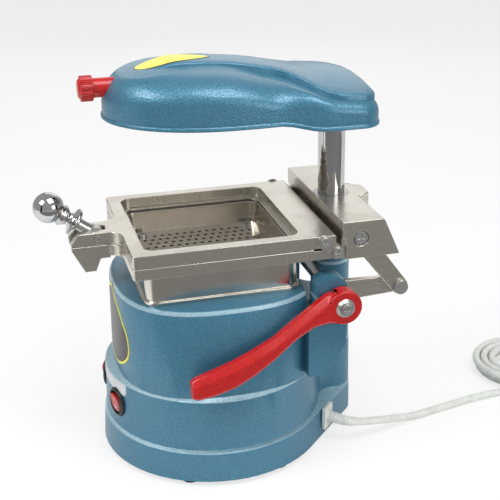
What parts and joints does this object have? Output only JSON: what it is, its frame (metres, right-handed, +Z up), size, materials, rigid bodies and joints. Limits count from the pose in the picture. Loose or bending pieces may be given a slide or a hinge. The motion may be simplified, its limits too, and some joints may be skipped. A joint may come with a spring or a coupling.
{
  "type": "dental vacuum former",
  "caption": "Bench vacuum former with a swivelling heater head on a post, hinged sheet frames on a lever-lifted carriage, and a perforated vacuum tray on a round base.",
  "frame": {"origin": "on the table under the centre of the machine's outline", "axes": "+Z up, -Y the front with the switches and the lock knob, +X the lever's side"},
  "size_m": [0.1885, 0.5027, 0.3104],
  "materials": {
    "enamel": "hammered enamel, satin",
    "red_paint": "gloss",
    "nickel": "satin nickel plate",
    "chrome": "polished chrome",
    "polished": "polished steel",
    "steel": "zinc-plated steel",
    "bronze": "sintered bronze",
    "black_rubber": "matte",
    "black_plastic": "matte",
    "white_plastic": "satin",
    "ceramic": "glazed ceramic",
    "sticker": "printed film"
  },
  "bodies": {
    "base": {"base_housing": "enamel", "base_plate": "steel", "base_screws": "steel", "rubber_feet": "black_rubber", "front_sticker": "sticker", "switch_label": "white_plastic", "switch_bezels": "black_plastic", "cord_gland": "white_plastic", "mains_cord": "white_plastic", "cord_coil": "white_plastic", "mains_plug": "white_plastic", "vacuum_motor": "steel", "fan_housing": "steel", "motor_gasket": "black_rubber", "shaft_bushes": "bronze", "post": "chrome", "post_bolt": "steel", "head_collar": "steel", "chamber_tray": "polished", "chamber_gasket": "black_rubber", "perforated_plate": "polished", "plate_screws": "steel"},
    "rocker_left": {"rocker_left": "red_paint"},
    "rocker_right": {"rocker_right": "red_paint"},
    "lever": {"red_lever": "red_paint", "lever_washer": "chrome", "lever_screw": "steel", "crank_shaft": "steel", "cranks": "nickel", "crank_pins": "steel"},
    "links": {"links": "nickel"},
    "carriage": {"carriage_block": "nickel", "carriage_bush": "bronze", "carriage_screws": "steel", "lower_frame": "nickel", "strap_screws_lower": "steel", "link_screws": "steel"},
    "straps": {"hinge_straps": "nickel"},
    "upper_frame": {"upper_frame": "nickel", "strap_screws_upper": "steel", "bolt_pin": "steel"},
    "swing_bolt": {"swing_bolt": "steel"},
    "clamp_sleeve": {"clamp_sleeve": "chrome"},
    "lock_knob": {"lock_knob": "chrome"},
    "head": {"head_cover": "enamel", "head_pan": "steel", "heater_dish": "polished", "heater_element": "steel", "heater_terminals": "ceramic", "head_bush": "bronze", "head_screws": "steel", "head_sticker": "sticker", "knob_collar": "red_paint", "head_knob": "red_paint"}
  },
  "joints": [
    {"name": "rocker_left_tilt", "type": "hinge", "parent": "base", "child": "rocker_left", "pos_m": [-0.02958, -0.08407, 0.0495], "axis": [-0.9521, 0.3059, 0], "range_deg": [0, 14]},
    {"name": "rocker_right_tilt", "type": "hinge", "parent": "base", "child": "rocker_right", "pos_m": [0.02058, -0.08407, 0.0495], "axis": [-0.9521, -0.3059, 0], "range_deg": [0, 14]},
    {"name": "lever_turn", "type": "hinge", "parent": "base", "child": "lever", "pos_m": [0.0775, 0.0755, 0.1345], "axis": [1, 0, 0], "range_deg": [0, 50]},
    {"name": "link_swing", "type": "hinge", "parent": "lever", "child": "links", "pos_m": [0.0565, 0.1277, 0.1352], "axis": [1, 0, 0], "range_deg": [-70, 0]},
    {"name": "carriage_slide", "type": "slide", "parent": "base", "child": "carriage", "axis": [0, 0, 1], "range_m": [0, 0.0503]},
    {"name": "strap_swing", "type": "hinge", "parent": "carriage", "child": "straps", "pos_m": [0.0637, 0.0749, 0.1713], "axis": [-1, 0, 0], "range_deg": [0, 8.2]},
    {"name": "frame_open", "type": "hinge", "parent": "straps", "child": "upper_frame", "pos_m": [0.0637, 0.0651, 0.1801], "axis": [-1, 0, 0], "range_deg": [0, 10]},
    {"name": "bolt_swing", "type": "hinge", "parent": "upper_frame", "child": "swing_bolt", "pos_m": [-0.0045, -0.0923, 0.1797], "axis": [1, 0, 0], "range_deg": [0, 62.8]},
    {"name": "sleeve_slide", "type": "slide", "parent": "swing_bolt", "child": "clamp_sleeve", "axis": [0, -0.8111, 0.585], "range_m": [0, 0.0055]},
    {"name": "knob_turn", "type": "hinge", "parent": "clamp_sleeve", "child": "lock_knob", "pos_m": [-0.0045, -0.1249, 0.20322], "axis": [0, -0.8111, 0.585], "continuous": true},
    {"name": "head_swivel", "type": "hinge", "parent": "base", "child": "head", "pos_m": [-0.0045, 0.0933, 0.28], "axis": [0, 0, 1], "range_deg": [-90, 90]}
  ],
  "couplings": [
    {"joint": "link_swing", "follows": "lever_turn", "ratio": -1.378},
    {"joint": "carriage_slide", "follows": "lever_turn", "m_per_rad": 0.05754},
    {"joint": "strap_swing", "follows": "frame_open", "ratio": 0.8085},
    {"joint": "sleeve_slide", "follows": "bolt_swing", "m_per_rad": 0.004927}
  ]
}
